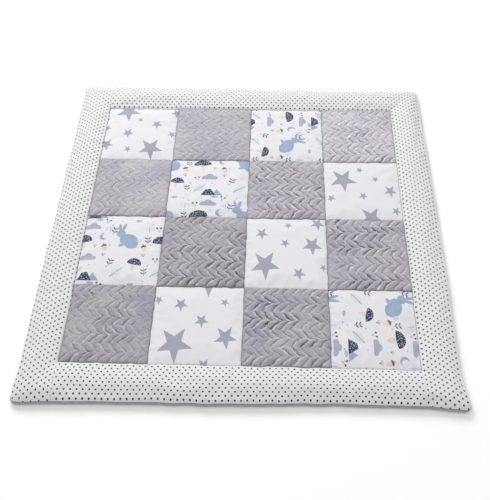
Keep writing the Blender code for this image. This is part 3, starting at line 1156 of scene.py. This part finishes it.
# A repeat of the forest cloth: (motif, x, y, turn, size, times in the repeat), in
# millimetres and degrees
FOREST_REPEAT = (200.0, 180.0)
FOREST = (
    (pebble, 108, 96, 10, 1.2, (1, 2)), (pebble, 26, 164, -20, 1.1, (1, 1)),
    (bush, 96, 62, 4, 1.2, (2, 1)), (rabbit, 44, 38, 0, 1.7, (1, 1)),
    (toadstool, 130, 30, 6, 1.45, (1, 1)), (toadstool, 68, 146, -12, 1.15, (1, 1)),
    (hills, 158, 112, 0, 1.25, (1, 1)), (cloud, 150, 70, 0, 1.2, (1, 2)),
    (striped_leaf, 26, 124, 40, 1.1, (2, 1)), (moon, 182, 44, 0, 1.15, (1, 1)),
    (acorn, 88, 12, 20, 1.1, (2, 1)), (sprig, 95, 36, 8, 1.1, (1, 2)),
    (sprig, 8, 62, -16, 1.2, (1, 2)), (berries, 120, 68, 10, 1.1, (1, 2)),
    (berries, 186, 88, -20, 1.1, (1, 1)), (dashes, 66, 94, 0, 1.0, (2, 1)),
    (tuft, 88, 170, 10, 1.1, (2, 1)), (tuft, 162, 16, -8, 1.0, (1, 1)),
    (little_cross, 103, 82, 20, 0.9, (1, 3)), (little_cross, 0, 18, 0, 0.9, (1, 3)),
    (dot, 158, 52, 0, 1.1, (1, 2)), (dot, 46, 100, 0, 1.0, (4, 1)), (dot, 22, 90, 0, 1.2, (3, 1)),
)


def forest_cotton():
    """White cotton with a print of woodland things in blue, navy, lilac grey and beige."""
    def print_forest(finish, cut):
        cloth = Print(finish, cut, FOREST_REPEAT)
        for entry in FOREST:
            cloth.draw(*entry)
        flecks = finish.node("TexVoronoi", {"voronoi_dimensions": "2D"}, {
            "Vector": cloth.cloth, "Scale": 0.23,
        })
        cloth.add("print_white", cloth.both(cloth.inks["print_navy"] + 1.6, flecks * 4.3 - 0.75))
        return cloth.painted(colours().cotton)
    return cotton("Forest cotton", print_forest)


DOT_SOFTNESS = 0.3 * MM


def dotted_cotton():
    """White cotton with pin dots, every other row shifted by half their pitch."""
    def print_dots(finish, cut):
        across, along = finish.parts_of(cut)
        steps = (sizes().dot_pitch, 2.0 * sizes().dot_rows)
        dots = []
        for shift in (0.0, 0.5):
            spot = finish.node("CombineXYZ", None, [
                ((place / step + shift) % 1.0 - 0.5) * step
                for place, step in zip((along, across), steps)
            ])
            from_rim = finish.length(spot) - sizes().dot_size / 2.0
            dots.append(finish.inside(from_rim, DOT_SOFTNESS))
        return finish.blend(finish.highest(dots), colours().dotted, colours().dot)
    return cotton("Dotted cotton", print_dots)


# Places across an embossed leaf, from its upper side at 0 to its lower side at 1, of its painted
# highlight and of the painted shade in its groove
LEAF_HIGHLIGHT = 0.11
LEAF_GROOVE_SHADE = 0.92

# How far loose pile strays over a leaf's sides and ends, in leaves
LEAF_RAGGED = 0.5
LEAF_TORN = 0.36

# Depth of the pile's relief
PLUSH_BUMP = 1.6 * MM
BACK_BUMP = 1.8 * MM


def plush_pile(finish, where):
    """Fine fibres in soft clumps: (colour change from 0 to 1, height)."""
    fibre = finish.noise(where, 900.0, 3.0, 0.6)
    clump = finish.noise(where, 240.0, 3.0, 0.6)
    return fibre * 0.4 + clump * 0.6, fibre * 0.5 + clump


def leaf_places(finish, where, u, v):
    """A point's place on its leaf: (across it, from its upper side, along it), and its own tone."""
    u = u + finish.uneven(where, 120.0, 3.0, 0.65) * LEAF_RAGGED
    v = v + finish.uneven(where, 150.0, 3.0, 0.65) * LEAF_TORN
    along = finish.maths("PINGPONG", v, 1.0)
    slid = u - (along * (1.0 - LEAF_BEND) + along ** LEAF_BEND_POWER * LEAF_BEND)
    across = slid % 1.0
    band, leaf = finish.maths("FLOOR", v), finish.maths("FLOOR", slid)
    own = finish.node("TexWhiteNoise", {"noise_dimensions": "2D"},
                      [finish.node("CombineXYZ", None, [leaf, band])])
    return across, abs(across - band % 2.0), along, own


def leaf_light_shade_and_tone(finish, where, lower, along, own):
    """Painted light and shade of a leaf, and its own tone: a painted highlight on its rim, painted
    shade in its groove and over its lower half, painted highlights on its tips.
    """
    # Painted highlight along the upper rim and at the tips, painted shade in the groove and over the
    # lower half; own is the leaf's own tone
    rim = finish.ramp(abs(lower - LEAF_HIGHLIGHT), -4.6, 1.0)
    groove = finish.ramp(abs(lower - LEAF_GROOVE_SHADE), -5.0, 1.0)
    shadow = finish.ramp(lower, 2.0, -1.0)
    lit_tips = finish.ramp(finish.maths("PINGPONG", along, 0.5), -6.0, 1.0)
    lit = finish.ramp(finish.noise(where, 75.0), 3.4, -1.2)
    shade_in_grooves = finish.ramp(finish.noise(where, 62.0), 3.6, -1.35)
    light_shade_and_tone = rim * (0.15 + lit * 0.72) - groove * (0.12 + shade_in_grooves * 0.62)
    return light_shade_and_tone - shadow * 0.12 + lit_tips * lit * 0.3 + (own - 0.5) * 0.14


def embossed_plush():
    """Grey plush, with a painted highlight on the upper side of each leaf and painted shade in the
    groove below it.
    """
    finish = Finish("Embossed plush")
    where = finish.where()
    u, v, rubbed, stood, patch_light_and_seam_shade = (
        finish.node("Attribute", {"attribute_name": layer}, None, output=2)
        for layer in ("leaf_u", "leaf_v", "rubbed", "stands", "patch_light_and_seam_shade")
    )
    across, lower, along, own = leaf_places(finish, where, u, v)
    light_shade_and_tone = leaf_light_shade_and_tone(finish, where, lower, along, own)
    pile, pile_height = plush_pile(finish, where)
    mottle = finish.uneven(where, 290.0, 2.0, 0.6)
    cloudy = finish.uneven(where, 105.0, 2.0, 0.6)
    speckle = finish.ramp(finish.noise(where, 210.0, 3.0, 0.7), 4.0, -2.45)
    # The leaves' painted highlights and shade join the pile's random tones here
    tone = 0.675 + pile * 0.56 + mottle * 0.52 + cloudy * 0.4 + speckle * 0.3 + light_shade_and_tone * stood

    lean = finish.ramp(finish.noise(where, 11.0), 2.76, -1.2)
    base = finish.blend(rubbed, colours().plush, colours().brushed)
    # The stored layer scales the colour: each patch's lightness, painted lighter towards the back,
    # and painted shade beside its seams
    colour = finish.shade(finish.blend(lean, base, colours().plush_cool), tone * patch_light_and_seam_shade)
    pad = finish.ramp(finish.maths("PINGPONG", across, 0.5), 5.0, 0.0) * stood
    height = pile_height + pad * 0.5 + mottle * 0.8
    return finish.paint(colour, 0.95, height, depth=PLUSH_BUMP, strength=0.9, sheen=0.4,
                        sheen_tint=(0.95, 0.94, 0.97))


def plain_plush():
    """Grey plush without leaves, as on the back."""
    finish = Finish("Back plush")
    where = finish.where()
    pile, pile_height = plush_pile(finish, where)
    mottle = finish.uneven(where, 120.0, 3.0, 0.65)
    lean = finish.ramp(finish.noise(where, 10.0, 3.0, 0.6), 4.0, -1.6)
    base = finish.blend(lean, colours().back, colours().plush_cool)
    colour = finish.shade(base, 0.71 + pile * 0.5 + lean * 0.08 + mottle * 0.6)
    return finish.paint(colour, 0.95, pile_height + mottle * 2.0, depth=BACK_BUMP, strength=0.9,
                        sheen=0.6, sheen_tint=(0.93, 0.92, 0.97))


# Stars of each patch: (x, y, radius, turn) in millimetres from the patch's front left
# corner, and degrees
STARS = {
    "r1c1": (
        (56, 184, 38, 8), (196, 182, 17, -4), (95, 149, 9, 10), (143, 131, 17, 4),
        (65, 95, 17, 6), (189, 94, 13, 0), (2, 118, 12, 8), (10, 52, 21, 4), (72, 34, 11, 9),
        (135, 38, 36, 6),
    ),
    "r2c4": (
        (50, 130, 38, 6), (96, 170, 11, 10), (136, 135, 11, 2), (173, 94, 19, 8),
        (101, 75, 13, 5), (16, 68, 13, -4), (118, 3, 35, 6), (184, 27, 14, 9),
    ),
    "r3c3": (
        (48, 60, 38, 4), (130, 38, 17, 9), (163, 118, 26, 3), (96, 122, 13, 7),
        (38, 150, 17, 5), (104, 178, 11, 0), (178, 184, 20, 8), (190, 58, 11, 4),
    ),
    "r4c2": (
        (54, 47, 41, 5), (163, 67, 27, 7), (108, 106, 17, 6), (60, 148, 17, 4),
        (158, 156, 11, 9), (9, 160, 11, 2), (118, 213, 38, 3), (120, -3, 17, 6),
    ),
}


# Operators and settings

def length_property(name, description, default, lowest, highest, precision=4):
    """A length in metres, with its sizes given in millimetres."""
    return bpy.props.FloatProperty(
        name=name, description=description, default=default * MM, min=lowest * MM,
        max=highest * MM, unit="LENGTH", precision=precision,
    )


class MatSizes(bpy.types.PropertyGroup):
    cotton: length_property("Cotton", "Thickness of the printed cottons", 1.2, 0.5, 3)
    plush: length_property("Plush", "Thickness of the plush under its leaves", 1.8, 0.5, 3)
    leaf_rise: length_property("Leaf rise", "Height of the middle of an embossed leaf", 3.4, 0, 5)
    scallop: length_property("Scallop", "How far the outline wanders between stitches", 0.9, 0, 4)
    sway: length_property("Seam sway", "How far a seam wanders from its straight line", 1.1, 0, 3)
    lip: length_property("Pile lip", "How far the pile bulges over a seam", 1.4, 0, 3)
    pucker: length_property("Puckers", "Height of the small folds along the seams", 0.8, 0, 3)
    yarn: length_property("Yarn", "Spacing of the cotton's yarns", 0.55, 0.2, 2, precision=5)
    dot_pitch: length_property("Dot pitch", "Spacing of the dots along a strip", 13.6, 4, 40)
    dot_rows: length_property("Dot rows", "Spacing of the rows of dots across it", 9.6, 3, 40)
    dot_size: length_property("Dot size", "Diameter of a dot", 4.25, 1, 10)


def colour_property(name, description, default):
    return bpy.props.FloatVectorProperty(
        name=name, description=description, default=default, size=3, min=0.0, max=1.0,
        subtype="COLOR",
    )


class MatColours(bpy.types.PropertyGroup):
    cotton: colour_property("Cotton", "White ground of the cottons", (0.73, 0.73, 0.755))
    dotted: colour_property("Dotted cotton", "Ground of the border", (0.735, 0.735, 0.74))
    star: colour_property("Stars", "Ink of the stars", screen(154, 156, 169))
    dot: colour_property("Dots", "Ink of the dots", screen(14, 14, 22))
    plush: colour_property("Plush", "Plush with its pile standing", screen(166, 163, 169))
    plush_cool: colour_property("Plush, cool", "Where the pile leans away", screen(157, 154, 168))
    brushed: colour_property("Plush, brushed", "Where a hand brushed it", screen(175, 173, 176))
    back: colour_property("Back", "Plain plush of the back", screen(160, 159, 162))
    print_blue: colour_property("Print blue", "Forest print, blue", screen(150, 167, 191))
    print_navy: colour_property("Print navy", "Forest print, navy", screen(48, 62, 88))
    print_lilac: colour_property("Print lilac", "Forest print, lilac grey", screen(164, 168, 184))
    print_aqua: colour_property("Print aqua", "Forest print, pale aqua", screen(190, 209, 216))
    print_beige: colour_property("Print beige", "Forest print, beige", screen(216, 203, 192))
    print_sand: colour_property("Print sand", "Forest print, pale sand", screen(226, 221, 214))
    print_pale: colour_property("Print pale", "Forest print, pale grey", screen(210, 214, 222))
    print_brown: colour_property("Print brown", "Forest print, brown", screen(120, 92, 82))
    print_white: colour_property("Print white", "Forest print, white", screen(226, 228, 232))


def filled_mesh(cells, rings):
    """A grid at z = 0, this many rings below its rim, each 1 lower than the last, and a base."""
    bm = bmesh.new()
    bmesh.ops.create_grid(bm, x_segments=cells, y_segments=cells, size=1.0)
    rim = [edge for edge in bm.edges if edge.is_boundary]
    for _ in range(rings):
        made = bmesh.ops.extrude_edge_only(bm, edges=rim)["geom"]
        rim = [item for item in made if isinstance(item, bmesh.types.BMEdge) and item.is_boundary]
        moved = {vert for edge in rim for vert in edge.verts}
        bmesh.ops.translate(bm, verts=list(moved), vec=(0.0, 0.0, -1.0))
    bmesh.ops.edgeloop_fill(bm, edges=rim)
    bmesh.ops.recalc_face_normals(bm, faces=bm.faces)
    return bm


class DRESS_OT_padded_back(bpy.types.Operator):
    """Make the filled body with its plush back"""

    bl_idname = "play_mat.padded_back"
    bl_label = "Padded back"

    def execute(self, context):
        lines = lattice(-1, EDGE, BACK_PITCH)
        cells = len(lines) - 1
        profile = smooth_profile(SIDE_PROFILE, SIDE_STEPS)
        obj = to_object(filled_mesh(cells, len(profile) - 1), "padded_back")
        flat = flat_places(obj.data)
        top = Face(lines, lines)
        ring = np.rint(-flat[:, 2]).astype(int)
        places = read_grid(top.points, flat)
        outwards = read_grid(top.up, flat)[:, :2]
        outwards = outwards / np.maximum(np.linalg.norm(outwards, axis=1), 1e-9)[:, None]
        out, height = np.array(profile).T
        below = ring > 0
        places[below, :2] += outwards[below] * out[ring[below], None]
        drop = places[below, 2] / EDGE_SEAM_Z
        places[below, 2] = height[ring[below]] * mix(1.0, drop, height[ring[below]] / EDGE_SEAM_Z)
        set_places(obj.data, places)
        obj.data.shade_smooth()
        obj.data.materials.append(plain_plush())
        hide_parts("filled_back")
        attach(obj, BODY)
        return {"FINISHED"}


def smooth_profile(points, steps):
    """A curve through the profile's points, with this many steps between two of them."""
    curve = [points[0]]
    ends = [points[0], *points, points[-1]]
    for a, b, c, d in zip(ends, ends[1:], ends[2:], ends[3:]):
        for step in range(1, steps + 1):
            t = step / steps
            curve.append(tuple(
                0.5 * (2 * q + (r - p) * t + (2 * p - 5 * q + 4 * r - s) * t * t
                       + (3 * q - p - 3 * r + s) * t ** 3)
                for p, q, r, s in zip(a, b, c, d)
            ))
    return [(out, max(height, 0.0)) for out, height in curve]


def patches_of(cloth):
    """(name, column, row from the front) of each patch of this cloth."""
    for row_from_back, cloths in enumerate(LAYOUT):
        for column, kind in enumerate(cloths):
            if kind == cloth:
                yield f"r{row_from_back + 1}c{column + 1}", column, PATCHES - 1 - row_from_back


def patch_lines(first, last, pitch, rims):
    """Lines between two seams, both of which the cloth stops just short of."""
    lines = lattice(first, last, pitch)
    lines[0] += SEAM_GAP / 2 / PATCH_CUT
    lines[-1] -= SEAM_GAP / 2 / PATCH_CUT
    return with_rims(lines, rims, PATCH_CUT)


def strip_lines(first):
    """Lines across a border strip, which stops just short of its seam with the patches."""
    lines = lattice(first, first + 1, STRIP_PITCH)
    inner, outwards = (-1, -1.0) if first == -1 else (0, 1.0)
    lines[inner] += outwards * SEAM_GAP / 2 / STRIP_CUT
    return with_rims(lines, COTTON_RIMS, STRIP_CUT)


def make_patch(name, column, row, material, cut_from=((0.0, 0.0), 0.0), relief=None):
    """A patch of cotton, or one of plush with its relief."""
    if relief is None:
        pitch, rims, thickness = COTTON_PITCH, COTTON_RIMS, sizes().cotton
    else:
        pitch, rims, thickness = PLUSH_PITCH, PLUSH_RIMS, sizes().plush
    make_cloth(
        name, patch_lines(column, column + 1, pitch, rims), patch_lines(row, row + 1, pitch, rims),
        thickness, material, ((PATCH_CUT, PATCH_CUT), *cut_from), relief,
    )


class DRESS_OT_plush_patches(bpy.types.Operator):
    """Make the eight patches of embossed plush"""

    bl_idname = "play_mat.plush_patches"
    bl_label = "Plush patches"

    def execute(self, context):
        material = embossed_plush()
        for name, column, row in patches_of("plush"):
            make_patch(f"cloth_plush_{name}", column, row, material,
                       relief=leaf_relief(column, row))
        return {"FINISHED"}


class DRESS_OT_star_patches(bpy.types.Operator):
    """Make the four patches of star cotton"""

    bl_idname = "play_mat.star_patches"
    bl_label = "Star patches"

    def execute(self, context):
        for name, column, row in patches_of("stars"):
            material = star_cotton(f"Star cotton {name}", STARS[name])
            make_patch(f"cloth_stars_{name}", column, row, material)
        return {"FINISHED"}


# Where each forest patch was cut from its cloth: (place, turn in degrees)
FOREST_CUTS = {
    "r1c3": ((0.30, 0.11), 90.0),
    "r2c2": ((0.05, 0.03), 0.0),
    "r3c1": ((0.13, 0.09), 0.0),
    "r4c4": ((0.40, 0.24), 90.0),
}


class DRESS_OT_forest_patches(bpy.types.Operator):
    """Make the four patches of forest cotton"""

    bl_idname = "play_mat.forest_patches"
    bl_label = "Forest patches"

    def execute(self, context):
        material = forest_cotton()
        for name, column, row in patches_of("forest"):
            make_patch(f"cloth_forest_{name}", column, row, material,
                       FOREST_CUTS[name])
        return {"FINISHED"}


class DRESS_OT_border_strips(bpy.types.Operator):
    """Make the four border strips of dotted cotton"""

    bl_idname = "play_mat.border_strips"
    bl_label = "Border strips"

    def execute(self, context):
        material = dotted_cotton()
        from_row = (sizes().dot_rows / 2.0, 0.0)
        full_depth = with_rims(lattice(-1, EDGE, STRIP_PITCH), COTTON_RIMS, STRIP_CUT)
        between = patch_lines(0, PATCHES, STRIP_PITCH, COTTON_RIMS)
        upright = ((STRIP_CUT, STRIP_LENGTH), from_row, 0.0)
        level = ((PATCH_CUT * PATCHES, STRIP_CUT), from_row, 90.0)
        for name, u_lines, v_lines, cut in (
            ("left", strip_lines(-1), full_depth, upright),
            ("right", strip_lines(PATCHES), full_depth, upright),
            ("front", between, strip_lines(-1), level),
            ("back", between, strip_lines(PATCHES), level),
        ):
            make_cloth(f"cloth_border_{name}", u_lines, v_lines, sizes().cotton, material,
                       cut)
        return {"FINISHED"}


# Soft lights: (name, place, width in metres, power in watts), and the white all round
LIGHTS = (("Key", (-1.0, 2.3, 2.3), 1.5, 72.0), ("Fill", (0.5, -0.5, 3.2), 3.2, 26.0))
AMBIENT = 0.55
FLOOR_HALF = 4.0


class DRESS_OT_stage(bpy.types.Operator):
    """Set the pale floor, the soft lights and the camera"""

    bl_idname = "play_mat.stage"
    bl_label = "Stage"

    def execute(self, context):
        bm = bmesh.new()
        bmesh.ops.create_grid(bm, x_segments=8, y_segments=8, size=FLOOR_HALF)
        floor = to_object(bm, "floor")
        finish = Finish("Floor")
        tone = 0.98 + finish.noise(finish.where(), 3.0) * 0.02
        floor.data.materials.append(finish.paint(finish.shade((1.0, 1.0, 1.0), tone), 0.9))
        for light in LIGHTS:
            add_area_light(*light)
        world = bpy.data.worlds.new("Studio")
        world.use_nodes = True
        background = world.node_tree.nodes["Background"]
        background.inputs["Color"].default_value = (1.0, 1.0, 1.0, 1.0)
        background.inputs["Strength"].default_value = AMBIENT
        context.scene.world = world
        context.scene.view_settings.view_transform = "Standard"
        add_camera(context.scene)
        return {"FINISHED"}


def add_area_light(name, place, size, power):
    """A soft light that faces the mat's middle."""
    light = bpy.data.lights.new(name, "AREA")
    light.size = size
    light.energy = power
    lamp = bpy.data.objects.new(name, light)
    lamp.location = place
    lamp.rotation_mode = "QUATERNION"
    lamp.rotation_quaternion = (-Vector(place)).to_track_quat("-Z", "Y")
    bpy.context.scene.collection.objects.link(lamp)


CAMERA_PLACE = (0.056, -1.0493, 1.3988)
CAMERA_AIM = (0.0, -0.0877, 0.020)
CAMERA_ROLL = -1.69
CAMERA_LENS = 49.6


def add_camera(scene):
    """The view that the photo has of the mat."""
    camera = bpy.data.cameras.new("Camera")
    camera.lens = CAMERA_LENS
    camera.sensor_width = 36.0
    rig = bpy.data.objects.new("Camera", camera)
    aim = (Vector(CAMERA_AIM) - Vector(CAMERA_PLACE)).to_track_quat("-Z", "Y")
    roll = Matrix.Rotation(math.radians(CAMERA_ROLL), 4, "Z")
    rig.matrix_world = Matrix.Translation(CAMERA_PLACE) @ aim.to_matrix().to_4x4() @ roll
    scene.collection.objects.link(rig)
    scene.camera = rig


class DRESS_PT_play_mat(bpy.types.Panel):
    """Sizes, colours and pieces of the play mat"""

    bl_idname = "DRESS_PT_play_mat"
    bl_label = "Play Mat"
    bl_space_type = "VIEW_3D"
    bl_region_type = "UI"
    bl_category = "Play Mat"

    def draw(self, context):
        for group in (context.scene.mat_sizes, context.scene.mat_colours):
            box = self.layout.box()
            for key in group.bl_rna.properties.keys():
                if key not in ("rna_type", "name"):
                    box.prop(group, key)
        for operator in PIECES:
            self.layout.operator(operator.bl_idname)


PIECES = (
    DRESS_OT_padded_back,
    DRESS_OT_plush_patches,
    DRESS_OT_star_patches,
    DRESS_OT_forest_patches,
    DRESS_OT_border_strips,
    DRESS_OT_stage,
)
CLASSES = (MatSizes, MatColours, *PIECES, DRESS_PT_play_mat)


def register():
    for cls in CLASSES:
        bpy.utils.register_class(cls)
    bpy.types.Scene.mat_sizes = bpy.props.PointerProperty(type=MatSizes)
    bpy.types.Scene.mat_colours = bpy.props.PointerProperty(type=MatColours)


def unregister():
    del bpy.types.Scene.mat_sizes
    del bpy.types.Scene.mat_colours
    for cls in reversed(CLASSES):
        bpy.utils.unregister_class(cls)


def main():
    register()
    bpy.ops.play_mat.padded_back()
    bpy.ops.play_mat.plush_patches()
    bpy.ops.play_mat.star_patches()
    bpy.ops.play_mat.forest_patches()
    bpy.ops.play_mat.border_strips()
    bpy.ops.play_mat.stage()


if __name__ == "__main__":
    main()
